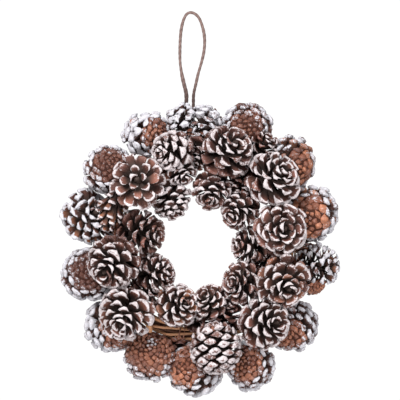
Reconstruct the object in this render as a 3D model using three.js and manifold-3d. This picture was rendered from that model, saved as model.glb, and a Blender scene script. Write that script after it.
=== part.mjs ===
// Pinecone wreath: open frosted pine cones on a ring of twisted vine, with a twine loop to hang it by.
// Millimetres, Z up. The wreath stands upright, its front looks along -Y, and the origin is the crown
// of the hanging loop, where it lies over a hook.

import * as THREE from 'three';
import { mergeVertices } from 'three/addons/utils/BufferGeometryUtils.js';
import Module from 'manifold-3d';

const wasm = await Module();
wasm.setup();

// Driving dimensions

const WREATH_CENTRE = new THREE.Vector3(11, 0, -271);
const GAP = 0.3;

const RING_RADIUS = 102;
const RING_THICKNESS = 18;
const RING_STEPS = 30;
const RING_STEMS = 5;
const RING_TURNED_STEMS = 3;
const STEM_GROOVE = 2.6;

const TWINE_THICKNESS = 3.5;
const TWINE_SIDES = 8;
const TWINE_STEP = 9;

// Every cone: [name, x, z, depth, width, length, lean, toward]
// x and z run from the wreath's centre to the middle of the cone, depth is its y.
// lean is the angle between the cone's tip and the viewer (0 looks at the tip, 180 at the stem end),
// toward is the clock direction that the tip leans to (0 up, 90 right, 180 down, 270 left).

const OUTER_CONES = [
  ['outer_cone_01', -19, 142.5, -8, 42, 44, 112, 335],
  ['outer_cone_02', 3.5, 140.5, -8, 46, 46, 115, 8],
  ['outer_cone_03', 54.5, 137, -4, 61, 56, 170, 20],
  ['outer_cone_04', 103, 97.5, -4, 62, 62, 146, 318],
  ['outer_cone_05', 128, 38.5, -6, 65, 58, 158, 50],
  ['outer_cone_06', 131.5, -23, -6, 54, 57, 80, 98],
  ['outer_cone_07', 130, -40, -4, 32, 34, 120, 320],
  ['outer_cone_08', 106.5, -92, -5, 60, 57, 145, 50],
  ['outer_cone_09', 58, -136.5, -8, 57, 56, 158, 115],
  ['outer_cone_10', -6, -141, -4, 64, 62, 146, 115],
  ['outer_cone_11', -58, -125, -6, 61, 57, 138, 188],
  ['outer_cone_12', -102, -90, -2, 63, 60, 142, 282],
  ['outer_cone_13', -128.5, -31.5, -6, 63, 56, 164, 235],
  ['outer_cone_14', -128, 35, -8, 66, 56, 30, 60],
  ['outer_cone_15', -105, 87.5, -9, 60, 55, 154, 200],
  ['outer_cone_16', -61, 130, -6, 54, 57, 138, 272],
];

const FRONT_CONES = [
  ['front_cone_01', -30, 111, -36, 47, 50, 52, 260],
  ['front_cone_02', 31, 109, -38, 62, 56, 42, 42],
  ['front_cone_03', 82, 78, -38, 64, 56, 44, 52],
  ['front_cone_04', 92, 21, -40, 62, 53, 14, 80],
  ['front_cone_05', 95, -38, -40, 62, 55, 32, 145],
  ['front_cone_06', 72, -87, -38, 60, 58, 42, 84],
  ['front_cone_07', 18, -114, -38, 60, 62, 100, 175],
  ['front_cone_08', -84, -74, -38, 64, 58, 42, 204],
  ['front_cone_09', -98, -16, -40, 62, 60, 44, 222],
  ['front_cone_10', -101, 45, -22, 36, 56, 80, 200],
  ['front_cone_11', -71, 74, -44, 64, 51, 12, 350],
];

const INNER_CONES = [
  ['inner_cone_01', -25, 91, -24, 41, 43, 50, 150],
  ['inner_cone_02', 14, 67.5, -20, 46, 48, 45, 198],
  ['inner_cone_03', 47, 44, -20, 45, 48, 45, 225],
  ['inner_cone_04', 47, 78, -18, 41, 42, 60, 200],
  ['inner_cone_05', 60.5, 1, -14, 45, 48, 65, 272],
  ['inner_cone_06', 52, -42, -20, 52, 50, 45, 275],
  ['inner_cone_07', 14, -66, -18, 46, 46, 45, 320],
  ['inner_cone_08', -27, -67.5, -22, 50, 47, 34, 70],
  ['inner_cone_09', -56, -31, -16, 50, 52, 58, 80],
  ['inner_cone_10', -72, 15.5, -17, 57, 62, 62, 95],
  ['inner_cone_11', -35, 58, -20, 47, 50, 62, 162],
  ['inner_cone_12', -64, -52, -12, 47, 46, 60, 60],
  ['inner_cone_13', 28, -82, -16, 43, 42, 70, 20],
  ['inner_cone_14', -25, -112, 10, 40, 40, 120, 190],
  ['inner_cone_15', -3, -84, -2, 36, 36, 60, 20],
  ['inner_cone_16', 0, 109, -16, 42, 40, 50, 200],
  ['inner_cone_17', 70, 113, -10, 45, 42, 60, 30],
  ['inner_cone_18', 119, 4, 6, 32, 32, 100, 20],
  ['inner_cone_19', 76, -14, -6, 34, 34, 60, 270],
];

// Rows of scales and scales per row, for cones from this width on

const SCALES_BY_WIDTH = [
  { from: 58, rows: 5, perRow: 7 },
  { from: 51, rows: 5, perRow: 5 },
  { from: 43, rows: 4, perRow: 5 },
  { from: 0, rows: 3, perRow: 5 },
];
const SCALE_SPREAD = 0.32;
const SPIRAL_STEP = THREE.MathUtils.degToRad(137.5);

// Materials

function frostedScales(tone) {
  return new THREE.MeshStandardMaterial({ color: tone, roughness: 0.85, metalness: 0 });
}

const OUTER_MATERIAL = frostedScales('#8f6a55');
const FRONT_MATERIAL = frostedScales('#8c7a78');
const INNER_MATERIAL = frostedScales('#7d675f');
const VINE_MATERIAL = new THREE.MeshStandardMaterial({ color: '#a06c3c', roughness: 0.8, metalness: 0 });
const TWINE_MATERIAL = new THREE.MeshStandardMaterial({ color: '#8c7361', roughness: 0.95, metalness: 0 });

// Solids

function toSolid(geometry) {
  const bare = geometry.clone();
  bare.deleteAttribute('normal');
  bare.deleteAttribute('uv');
  const merged = mergeVertices(bare, 1e-4);
  const vertProperties = new Float32Array(merged.attributes.position.array);
  const triVerts = new Uint32Array(merged.index.array);
  return new wasm.Manifold(new wasm.Mesh({ numProp: 3, vertProperties, triVerts }));
}

function toGeometry(solid) {
  const mesh = solid.getMesh();
  const geometry = new THREE.BufferGeometry();
  geometry.setAttribute('position', new THREE.BufferAttribute(new Float32Array(mesh.vertProperties), 3));
  geometry.setIndex(new THREE.BufferAttribute(new Uint32Array(mesh.triVerts), 1));
  geometry.computeVertexNormals();
  return geometry;
}

function largestPiece(solid) {
  const pieces = solid.decompose();
  return pieces.reduce((best, piece) => (piece.volume() > best.volume() ? piece : best));
}

// A closed skin through rings of points: each ring is a list of points in order round the axis.

function skin(rings, firstPole, lastPole, join) {
  const points = [firstPole, ...rings.flat(), lastPole];
  const triangles = [];
  const starts = [];
  let next = 1;
  for (const ring of rings) {
    starts.push(next);
    next += ring.length;
  }
  const first = rings[0].length;
  for (let i = 0; i < first; i++) {
    triangles.push([0, starts[0] + ((i + 1) % first), starts[0] + i]);
  }
  for (let r = 0; r + 1 < rings.length; r++) {
    triangles.push(...join(r, starts[r], starts[r + 1]));
  }
  const end = rings.length - 1;
  const last = rings[end].length;
  for (let i = 0; i < last; i++) {
    triangles.push([points.length - 1, starts[end] + i, starts[end] + ((i + 1) % last)]);
  }
  const geometry = new THREE.BufferGeometry();
  geometry.setAttribute('position', new THREE.Float32BufferAttribute(points.flatMap((p) => p.toArray()), 3));
  geometry.setIndex(triangles.flat());
  return geometry;
}

// Outline of an open cone from its stem end (angle 0) to its tip (angle PI).

function outline(angle, width, length) {
  const flatter = angle < Math.PI / 2 ? 0.86 : 1;
  return {
    radius: (width / 2) * Math.pow(Math.sin(angle), 0.8),
    height: -(length / 2) * Math.cos(angle) * flatter,
  };
}

function polar(radius, turn, height) {
  return new THREE.Vector3(radius * Math.cos(turn), radius * Math.sin(turn), height);
}

// One cone about +Z, its middle at the origin, tip up. Each row of scales has an under ring (one
// point at each scale's end) and an upper ring (two points at each scale's end), and the next row
// stands half a scale further round, so its scales fill the clefts.

function coneGeometry(width, length, scales) {
  const { rows, perRow } = scales;
  const pitch = (2 * Math.PI) / perRow;
  const rings = [];
  for (let row = 0; row < rows; row++) {
    const along = row / (rows - 1);
    const angle = THREE.MathUtils.lerp(0.16, 0.86, along) * Math.PI;
    const thick = 0.055 * Math.PI * (1 - 0.25 * along);
    const under = outline(angle - thick, width, length);
    const upper = outline(angle + thick, width, length);
    const rise = length * THREE.MathUtils.lerp(-0.1, 0.2, along);
    const cleft = THREE.MathUtils.lerp(0.68, 0.4, Math.min(1, 2.5 * along));
    const half = (row % 2) * 0.5;
    const spread = pitch * SCALE_SPREAD;
    const underRing = [];
    const upperRing = [];
    for (let i = 0; i < perRow; i++) {
      const turn = (i + half) * pitch;
      const between = turn + pitch / 2;
      underRing.push(polar(under.radius, turn, under.height));
      underRing.push(polar(under.radius * cleft, between, under.height - rise));
      upperRing.push(polar(upper.radius, turn - spread, upper.height));
      upperRing.push(polar(upper.radius, turn + spread, upper.height));
      upperRing.push(polar(upper.radius * cleft, between, upper.height - rise));
    }
    rings.push(underRing, upperRing);
  }
  const stem = new THREE.Vector3(0, 0, -length * 0.45);
  const tip = new THREE.Vector3(0, 0, length * 0.5);
  return skin(rings, stem, tip, (r, a, b) => scaleBand(r, a, b, perRow));
}

// Triangles between ring r (from point a on) and the ring after it (from point b on).

function scaleBand(r, a, b, perRow) {
  const triangles = [];
  for (let i = 0; i < perRow; i++) {
    const next = (i + 1) % perRow;
    if (r % 2 === 0) {
      const end = a + 2 * i;
      const cleft = end + 1;
      const nextEnd = a + 2 * next;
      const left = b + 3 * i;
      const right = left + 1;
      const upperCleft = left + 2;
      const nextLeft = b + 3 * next;
      triangles.push([end, right, left]);
      triangles.push([end, cleft, right]);
      triangles.push([cleft, upperCleft, right]);
      triangles.push([cleft, nextLeft, upperCleft]);
      triangles.push([cleft, nextEnd, nextLeft]);
    } else {
      const shift = ((r - 1) / 2) % 2;
      const left = a + 3 * i;
      const right = left + 1;
      const cleft = left + 2;
      const nextLeft = a + 3 * next;
      const above = b + 2 * ((i + shift - 1 + perRow) % perRow) + 1;
      const facing = b + 2 * ((i + shift) % perRow);
      const nextAbove = facing + 1;
      triangles.push([left, right, above]);
      triangles.push([right, cleft, above]);
      triangles.push([cleft, facing, above]);
      triangles.push([cleft, nextAbove, facing]);
      triangles.push([cleft, nextLeft, nextAbove]);
    }
  }
  return triangles;
}

// Where a cone stands

function placeOf([name, x, z, depth, width, length, lean, toward], index) {
  const tilt = THREE.MathUtils.degToRad(lean);
  const clock = THREE.MathUtils.degToRad(toward);
  const axis = new THREE.Vector3(
    Math.sin(tilt) * Math.sin(clock),
    -Math.cos(tilt),
    Math.sin(tilt) * Math.cos(clock),
  );
  const middle = new THREE.Vector3(x, depth, z).add(WREATH_CENTRE);
  const stand = new THREE.Quaternion().setFromUnitVectors(new THREE.Vector3(0, 0, 1), axis);
  const spin = new THREE.Quaternion().setFromAxisAngle(new THREE.Vector3(0, 0, 1), index * SPIRAL_STEP);
  const scales = SCALES_BY_WIDTH.find((kind) => width >= kind.from);
  return { name, axis, middle, width, length, scales, turn: stand.multiply(spin) };
}

// How far a cone reaches from its middle in a direction, taken as an egg shape.

function reach(cone, direction) {
  const along = direction.dot(cone.axis);
  const across = (cone.width / 2) ** 2 * (1 - along * along);
  return Math.sqrt(across + (cone.length / 2) ** 2 * along * along);
}

// Two cones that press on each other meet in a plane, so each keeps the side that is its own.
// The one further in front keeps more of its room.

function meetingPlanes(cones) {
  const planes = new Map(cones.map((cone) => [cone.name, []]));
  cones.forEach((a, i) => {
    for (const b of cones.slice(i + 1)) {
      const between = b.middle.clone().sub(a.middle);
      const distance = between.length();
      const normal = between.normalize();
      const overlap = reach(a, normal) + reach(b, normal) - distance;
      if (overlap < -GAP) {
        continue;
      }
      const inFront = THREE.MathUtils.clamp(0.5 + (a.middle.y - b.middle.y) / 50, 0.2, 0.8);
      const meet = reach(a, normal) - overlap * inFront;
      const point = a.middle.clone().addScaledVector(normal, meet);
      planes.get(a.name).push({ point, normal: normal.clone().negate() });
      planes.get(b.name).push({ point, normal: normal.clone() });
    }
  });
  return planes;
}

function keepOwnSide(solid, planes) {
  let kept = solid;
  for (const { point, normal } of planes) {
    kept = kept.trimByPlane(normal.toArray(), normal.dot(point) + GAP / 2);
  }
  return kept;
}

// Vine ring: a bundle of stems round the ring's centre line, grooved between the stems. Once round
// the ring, the bundle has turned on by a few stems.

function ringPoint(round, across, radius) {
  const out = RING_RADIUS + radius * Math.cos(across);
  return new THREE.Vector3(out * Math.sin(round), radius * Math.sin(across), out * Math.cos(round));
}

function torusSkin(sides, sectionRadius, twist) {
  const points = [];
  const index = [];
  for (let step = 0; step < RING_STEPS; step++) {
    const round = (2 * Math.PI * step) / RING_STEPS;
    for (let side = 0; side < sides; side++) {
      const across = (2 * Math.PI * (side + twist(step))) / sides;
      points.push(ringPoint(round, across, sectionRadius(side)));
    }
  }
  const total = RING_STEPS * sides;
  const offset = Math.round(twist(RING_STEPS));
  for (let step = 0; step < RING_STEPS; step++) {
    for (let side = 0; side < sides; side++) {
      const wrap = step === RING_STEPS - 1 ? offset : 0;
      const nextSide = (side + 1) % sides;
      const a = step * sides + side;
      const b = step * sides + nextSide;
      const c = (((step + 1) * sides) % total) + ((side + wrap) % sides);
      const d = (((step + 1) * sides) % total) + ((nextSide + wrap) % sides);
      index.push(a, c, b, b, c, d);
    }
  }
  const geometry = new THREE.BufferGeometry();
  geometry.setAttribute('position', new THREE.Float32BufferAttribute(points.flatMap((p) => p.toArray()), 3));
  geometry.setIndex(index);
  return geometry.translate(...WREATH_CENTRE.toArray());
}

function vineRingGeometry() {
  const sides = 2 * RING_STEMS;
  const crest = RING_THICKNESS / 2;
  const sectionRadius = (side) => (side % 2 === 0 ? crest : crest - STEM_GROOVE);
  return torusSkin(sides, sectionRadius, (step) => (2 * RING_TURNED_STEMS * step) / RING_STEPS);
}

// Room that the vine ring takes out of the cones: a plain tube just round the ring.

function ringRoomGeometry() {
  const sides = 6;
  const radius = (RING_THICKNESS / 2 + GAP) / Math.cos(Math.PI / sides);
  return torusSkin(sides, () => radius, () => 0.5);
}

// Hanging loop: one twine that comes up behind the ring, over the crown and down behind it again.
// Points of its centre line: [x, y, z] from the loop's crown.

const LOOP_ROUTE = [
  [-1, 8.2, -177.6],
  [-2, 11.4, -171],
  [-3, 13, -160],
  [-4, 16.5, -140],
  [-5, 18.5, -120],
  [-5, 15, -106],
  [-5, 9, -94],
  [-7.5, 5, -83],
  [-10, 2.5, -72],
  [-12, 1, -58],
  [-12.3, 0, -44],
  [-11.8, 0, -30],
  [-10.5, 0, -18],
  [-7.5, 0, -7],
  [-4, 0, -1.5],
  [0, 0, 0],
  [5, 0, -1.5],
  [9.5, 0, -6],
  [13, 0, -14],
  [15.5, 0, -24],
  [16.3, 0, -34],
  [15.3, 0, -46],
  [12.5, 1, -58],
  [9, 2.5, -70],
  [6, 5, -83],
  [3.6, 9, -94],
  [3.2, 15, -106],
  [3, 18.5, -120],
  [4, 16.5, -140],
  [4.5, 13, -160],
  [4.5, 11.4, -171],
  [4, 8.2, -177.6],
];

function hangingLoopGeometry() {
  const route = new THREE.CatmullRomCurve3(LOOP_ROUTE.map((p) => new THREE.Vector3(...p)));
  const section = new THREE.Shape();
  for (let side = 0; side < TWINE_SIDES; side++) {
    const turn = (2 * Math.PI * side) / TWINE_SIDES;
    const x = (TWINE_THICKNESS / 2) * Math.cos(turn);
    const y = (TWINE_THICKNESS / 2) * Math.sin(turn);
    if (side === 0) {
      section.moveTo(x, y);
    } else {
      section.lineTo(x, y);
    }
  }
  section.closePath();
  const steps = Math.round(route.getLength() / TWINE_STEP);
  return new THREE.ExtrudeGeometry(section, { steps, extrudePath: route, bevelEnabled: false });
}

// Assembly

function addMesh(group, name, geometry, material) {
  const mesh = new THREE.Mesh(geometry, material);
  mesh.name = name;
  group.add(mesh);
}

function coneSolid(cone) {
  const geometry = coneGeometry(cone.width, cone.length, cone.scales);
  geometry.applyQuaternion(cone.turn);
  geometry.translate(...cone.middle.toArray());
  return toSolid(geometry);
}

const wreath = new THREE.Group();
wreath.name = 'pinecone_wreath';

const circles = [
  { list: OUTER_CONES, material: OUTER_MATERIAL },
  { list: FRONT_CONES, material: FRONT_MATERIAL },
  { list: INNER_CONES, material: INNER_MATERIAL },
];
const entries = circles.flatMap(({ list, material }) => list.map((entry) => ({ entry, material })));
const cones = entries.map(({ entry, material }, index) => ({ ...placeOf(entry, index), material }));
const planes = meetingPlanes(cones);
const ringRoom = toSolid(ringRoomGeometry());

for (const cone of cones) {
  const trimmed = keepOwnSide(coneSolid(cone), planes.get(cone.name)).subtract(ringRoom);
  addMesh(wreath, cone.name, toGeometry(largestPiece(trimmed)), cone.material);
}
addMesh(wreath, 'vine_ring', vineRingGeometry(), VINE_MATERIAL);
addMesh(wreath, 'hanging_loop', hangingLoopGeometry(), TWINE_MATERIAL);

export default wreath;
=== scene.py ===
"""Pinecone wreath: the finished look of the CAD part, in metres, in the same frame.

The origin is the crown of the hanging loop, Z is up and the front looks along -Y.
"""

import math

import bpy
import numpy as np
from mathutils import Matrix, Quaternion, Vector


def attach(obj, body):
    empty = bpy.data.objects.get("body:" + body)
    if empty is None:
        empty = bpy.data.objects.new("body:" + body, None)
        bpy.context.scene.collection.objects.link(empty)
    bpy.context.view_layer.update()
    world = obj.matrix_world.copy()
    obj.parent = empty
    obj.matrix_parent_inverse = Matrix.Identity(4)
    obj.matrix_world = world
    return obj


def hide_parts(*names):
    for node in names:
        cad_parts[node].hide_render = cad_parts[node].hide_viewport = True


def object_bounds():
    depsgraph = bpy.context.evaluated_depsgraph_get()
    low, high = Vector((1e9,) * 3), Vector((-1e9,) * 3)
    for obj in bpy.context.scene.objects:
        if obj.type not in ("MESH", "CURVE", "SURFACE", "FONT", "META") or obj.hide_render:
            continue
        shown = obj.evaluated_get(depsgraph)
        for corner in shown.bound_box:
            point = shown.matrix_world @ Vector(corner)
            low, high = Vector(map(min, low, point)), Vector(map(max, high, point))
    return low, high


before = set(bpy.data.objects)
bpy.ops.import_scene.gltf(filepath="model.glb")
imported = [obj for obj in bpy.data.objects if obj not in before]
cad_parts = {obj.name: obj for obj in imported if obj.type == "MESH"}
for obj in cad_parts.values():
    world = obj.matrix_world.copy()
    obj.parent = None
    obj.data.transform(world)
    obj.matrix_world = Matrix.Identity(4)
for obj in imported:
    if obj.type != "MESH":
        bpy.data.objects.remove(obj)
cad_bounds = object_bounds()

MM = 0.001

# Measures that the CAD has too: the wreath's centre, the gap between pieces that touch, the vine
# ring and the twine.

WREATH_CENTRE = np.array([11.0, 0.0, -271.0]) * MM
GAP = 0.3 * MM
RING_RADIUS = 102 * MM
RING_THICKNESS = 18 * MM
TWINE_THICKNESS = 3.5 * MM

# How far the ends of scales may reach past the plane in which two cones meet, and past the sides
# of the CAD's box.

PRESSED_IN = 2.5 * MM

# A distance that counts as none, so that nothing is divided by 0.

NO_DISTANCE = 1e-6

# Turn from one scale to the next, and from one cone to the next.

SPIRAL_STEP = math.radians(137.5)

# Seeds of the random draws: each cone's own is the first one and its place in the list.

CONE_SEED = 100
RING_SEED = 7

# Camera: level, straight on, with a long lens, as the photo is taken. A pixel of the photo is
# PIXEL wide in the plane y = SCALE_PLANE.

PIXEL = 1.15 * MM
PHOTO_PIXELS = 400
LENS_MM = 300.0
SENSOR_MM = 36.0
SCALE_PLANE = -20 * MM
FRAME_WIDTH = PHOTO_PIXELS * PIXEL
FRAME_CENTRE = (10.9 * MM, -216.7 * MM)
CLIP_END = 20.0


def make_camera():
    data = bpy.data.cameras.new("camera")
    data.lens = LENS_MM
    data.sensor_width = SENSOR_MM
    data.dof.use_dof = False
    camera = bpy.data.objects.new("camera", data)
    bpy.context.scene.collection.objects.link(camera)
    distance = FRAME_WIDTH * LENS_MM / SENSOR_MM
    camera.location = (FRAME_CENTRE[0], SCALE_PLANE - distance, FRAME_CENTRE[1])
    camera.rotation_euler = (math.pi / 2, 0, 0)
    data.clip_end = CLIP_END
    bpy.context.scene.camera = camera


make_camera()

# Every cone: number, place of its middle from the wreath's centre in x, z and depth, width and
# length (mm), how far it leans from the viewer's direction and toward where (degrees, clockwise
# from the top), all as in the CAD. Then how much frost it has, how warm its brown is, how far its
# closed stem end reaches (degrees) and how far it is turned about its own axis (radians).

OUTER_CONES = [
    (1, -19, 142.5, -8, 42, 44, 112, 335, 1.35, 0.2, 26, 0.0),
    (2, 3.5, 140.5, -8, 46, 46, 115, 8, 1.15, 0.3, 26, 0.0),
    (3, 54.5, 137, -4, 61, 56, 170, 20, 0.85, 0.5, 42, 3.68),
    (4, 103, 97.5, -4, 62, 62, 146, 318, 0.85, 0.85, 46, 2.62),
    (5, 128, 38.5, -6, 65, 58, 158, 50, 1.15, 1.0, 52, 2.89),
    (6, 131.5, -23, -6, 54, 57, 80, 98, 1.25, 0.9, 30, 3.15),
    (7, 130, -40, -4, 32, 34, 120, 320, 0.4, 0.9, 60, 1.84),
    (8, 106.5, -92, -5, 60, 57, 145, 50, 0.95, 0.6, 46, 2.89),
    (9, 58, -136.5, -8, 57, 56, 158, 115, 1.1, 0.55, 48, 0.79),
    (10, -6, -141, -4, 64, 62, 146, 115, 1.2, 0.65, 48, 2.89),
    (11, -58, -125, -6, 61, 57, 138, 188, 0.9, 0.35, 88, 5.51),
    (12, -102, -90, -2, 63, 60, 142, 282, 2.0, 0.45, 54, 3.68),
    (13, -128.5, -31.5, -6, 63, 56, 164, 235, 0.95, 0.2, 50, 2.89),
    (14, -128, 35, -8, 66, 56, 30, 60, 2.3, 1.0, 36, 3.41),
    (15, -105, 87.5, -9, 60, 55, 154, 200, 1.0, 0.5, 46, 6.04),
    (16, -61, 130, -6, 54, 57, 138, 272, 1.85, 0.8, 48, 0.85),
]
FRONT_CONES = [
    (1, -30, 111, -36, 47, 50, 52, 260, 0.95, 0.4, 30, 3.15),
    (2, 31, 109, -38, 62, 56, 42, 42, 0.72, 0.2, 36, 4.2),
    (3, 82, 78, -38, 64, 56, 44, 52, 1.75, 0.3, 36, 5.51),
    (4, 92, 21, -40, 62, 53, 14, 80, 0.85, 0.4, 36, 0.0),
    (5, 95, -38, -40, 62, 55, 32, 145, 0.9, 0.8, 36, 5.78),
    (6, 72, -87, -38, 60, 58, 42, 84, 1.25, 0.55, 36, 5.78),
    (7, 18, -114, -38, 60, 62, 100, 175, 0.8, 0.3, 14, 0.0),
    (8, -84, -74, -38, 64, 58, 42, 204, 2.1, 0.7, 36, 4.46),
    (9, -98, -16, -40, 62, 60, 44, 222, 0.95, 0.4, 36, 4.73),
    (10, -101, 45, -22, 36, 56, 80, 200, 1.2, 1.0, 30, 6.04),
    (11, -71, 74, -44, 64, 51, 12, 350, 1.0, 0.7, 36, 0.0),
]
INNER_CONES = [
    (1, -25, 91, -24, 41, 43, 50, 150, 1.35, 0.7, 36, 0.0),
    (2, 14, 67.5, -20, 46, 48, 45, 198, 0.75, 0.6, 36, 0.53),
    (3, 47, 44, -20, 45, 48, 45, 225, 0.95, 0.4, 36, 5.78),
    (4, 47, 78, -18, 41, 42, 60, 200, 0.5, 0.3, 36, 4.99),
    (5, 60.5, 1, -14, 45, 48, 65, 272, 1.0, 0.5, 36, 0.0),
    (6, 52, -42, -20, 52, 50, 45, 275, 0.72, 0.6, 36, 4.99),
    (7, 14, -66, -18, 46, 46, 45, 320, 0.8, 0.4, 36, 0.0),
    (8, -27, -67.5, -22, 50, 47, 34, 70, 0.95, 0.9, 36, 1.05),
    (9, -56, -31, -16, 50, 52, 58, 80, 0.85, 0.4, 36, 1.31),
    (10, -72, 15.5, -17, 57, 62, 62, 95, 0.5, 0.6, 36, 6.04),
    (11, -35, 58, -20, 47, 50, 62, 162, 1.5, 0.3, 36, 2.36),
    (12, -64, -52, -12, 47, 46, 60, 60, 0.5, 0.4, 36, 3.15),
    (13, 28, -82, -16, 43, 42, 70, 20, 0.5, 0.4, 36, 4.99),
    (14, -25, -112, 10, 40, 40, 120, 190, 0.4, 0.4, 36, 4.99),
    (15, -3, -84, -2, 36, 36, 60, 20, 0.4, 0.4, 36, 1.05),
    (16, 0, 109, -16, 42, 40, 50, 200, 0.85, 0.4, 36, 4.99),
    (17, 70, 113, -10, 45, 42, 60, 30, 0.75, 0.4, 36, 4.46),
    (18, 119, 4, 6, 32, 32, 100, 20, 0.4, 0.4, 36, 2.62),
    (19, 76, -14, -6, 34, 34, 60, 270, 0.4, 0.4, 36, 1.31),
]
CONES = {"outer_cone": OUTER_CONES, "front_cone": FRONT_CONES, "inner_cone": INNER_CONES}

# How bluish the frost is on the outer cones, and on the others, where it is nearly all pinkish.

COOL_OUTSIDE = 0.85
COOL_INSIDE = 0.25

# Of two cones that press on each other, the one further in front keeps more of the overlap: a
# half, and more by its lead over SHARED_DEPTH, but always a share within these limits.

SHARED_DEPTH = 50 * MM
LEAST_SHARE = 0.2
MOST_SHARE = 0.8


def place_of(slot, row, index):
    """One cone: where it stands, as a middle, an axis from stem end to tip and a turn matrix."""
    number, x, z, depth, width, length, lean, toward, frost, warmth, closed, own_turn = row
    name = f"{slot}_{number:02d}"
    tilt, clock = math.radians(lean), math.radians(toward)
    out = math.sin(tilt)
    axis = Vector((out * math.sin(clock), -math.cos(tilt), out * math.cos(clock)))
    stand = Vector((0, 0, 1)).rotation_difference(axis)
    spin = Quaternion((0, 0, 1), index * SPIRAL_STEP)
    return {
        "name": name,
        "slot": slot,
        "index": index,
        "middle": np.array([x, depth, z]) * MM + WREATH_CENTRE,
        "axis": np.array(axis),
        "turn": np.array((stand @ spin).to_matrix()),
        "width": width * MM,
        "length": length * MM,
        "frost": frost,
        "warm": warmth,
        "closed": math.radians(closed),
        "own_turn": own_turn,
        "growth": GROWTH_OF_CONE.get(name, CLOSED_GROWTH),
        "shade": SHADE_OF_CONE.get(name, 0.0),
        "cool": COOL_OUTSIDE if slot == "outer_cone" else COOL_INSIDE,
        "kind": KIND_OF_CONE.get(name, KNOBBLY if slot == "outer_cone" else ROSETTE),
    }


def reach(cone, direction):
    """How far a cone reaches from its middle in a direction, taken as an egg shape."""
    along = float(direction @ cone["axis"])
    across = (cone["width"] / 2) ** 2 * (1 - along * along)
    return math.sqrt(across + (cone["length"] / 2) ** 2 * along * along)


def meeting_planes(cones):
    """Planes in which cones that press on each other meet, the same as in the CAD."""
    planes = {cone["name"]: [] for cone in cones}
    for i, a in enumerate(cones):
        for b in cones[i + 1 :]:
            between = b["middle"] - a["middle"]
            distance = float(np.linalg.norm(between))
            normal = between / distance
            overlap = reach(a, normal) + reach(b, normal) - distance
            if overlap < -GAP:
                continue
            share = 0.5 + (a["middle"][1] - b["middle"][1]) / SHARED_DEPTH
            share = min(MOST_SHARE, max(LEAST_SHARE, share))
            point = a["middle"] + normal * (reach(a, normal) - overlap * share)
            planes[a["name"]].append((-normal, float(-normal @ point) + GAP / 2))
            planes[b["name"]].append((normal, float(normal @ point) + GAP / 2))
    return planes


# Meshes


def make_piece(name, vertices, triangles, attributes, material, node, slot):
    """A fine piece in place of a node of the CAD, with a value at each point per attribute."""
    mesh = bpy.data.meshes.new(name)
    mesh.from_pydata(vertices.tolist(), [], triangles.tolist())
    for key, values in attributes.items():
        layer = mesh.attributes.new(key, "FLOAT", "POINT")
        layer.data.foreach_set("value", np.asarray(values, dtype=np.float32))
    mesh.materials.append(material)
    mesh.shade_smooth()
    piece = bpy.data.objects.new(name, mesh)
    bpy.context.scene.collection.objects.link(piece)
    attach(piece, "root")
    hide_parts(node)
    return piece


def rings_of(stations, around):
    """Triangles of a closed skin through stations with so many points around, poles last."""
    triangles = []
    for i in range(stations - 1):
        for j in range(around):
            a = i * around + j
            b = i * around + (j + 1) % around
            c, d = a + around, b + around
            triangles += [(a, b, d), (a, d, c)]
    start, end = stations * around, stations * around + 1
    last = (stations - 1) * around
    for j in range(around):
        nxt = (j + 1) % around
        triangles.append((start, nxt, j))
        triangles.append((end, last + j, last + nxt))
    return np.array(triangles)


# The three axes, as side directions or a path for tube().

X_WAY, Y_WAY, Z_WAY = np.eye(3)[:, None, :]


def turns(number):
    """Even angles once around (radians)."""
    return 2 * np.pi * np.arange(number) / number


def tube(path, first, second, radius, turn):
    """Points round a path: out from it by a radius at each turn between two side directions."""
    return (
        path[:, None, :]
        + first[:, None, :] * (radius * np.cos(turn))[..., None]
        + second[:, None, :] * (radius * np.sin(turn))[..., None]
    )


def unit(v):
    """Directions at length 1."""
    return v / np.linalg.norm(v, axis=-1, keepdims=True)


def smooth(x, low, high):
    """A smooth step from 0 at low to 1 at high."""
    t = np.clip((x - low) / (high - low), 0, 1)
    return t * t * (3 - 2 * t)


# One scale of each kind, station by station along its length: place, half width, thickness above
# and below its middle line, lift of that line, and how flat it is across (1 is a rhomb). The end
# of a scale, which keeps its form however long the scale is, begins at END_FROM.

END_FROM = 0.78
OPEN_STATIONS = [
    (0.00, 0.30, 0.20, 0.34, 0.00, 3.0),
    (0.28, 0.46, 0.12, 0.22, 0.01, 4.0),
    (0.50, 0.68, 0.10, 0.16, 0.03, 4.0),
    (0.66, 0.88, 0.10, 0.22, 0.05, 4.0),
    (0.78, 0.98, 0.16, 0.70, 0.06, 2.6),
    (0.85, 1.00, 0.26, 1.00, 0.06, 2.2),
    (0.91, 0.93, 0.30, 0.98, 0.05, 2.0),
    (0.955, 0.76, 0.26, 0.78, 0.04, 1.8),
    (0.985, 0.46, 0.16, 0.44, 0.03, 1.8),
]
PLATE_STATIONS = [
    (0.00, 0.30, 0.16, 0.20, 0.00, 3.0),
    (0.30, 0.44, 0.14, 0.20, 0.00, 3.0),
    (0.56, 0.62, 0.16, 0.24, 0.00, 2.4),
    (0.72, 0.84, 0.34, 0.50, 0.00, 1.8),
    (0.80, 1.00, 0.80, 0.98, 0.00, 1.5),
    (0.87, 0.95, 0.78, 0.94, 0.00, 1.5),
    (0.93, 0.68, 0.56, 0.66, 0.00, 1.5),
    (0.955, 0.36, 0.30, 0.34, 0.00, 1.7),
    (0.99, 0.20, 0.16, 0.20, 0.00, 2.0),
]
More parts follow.
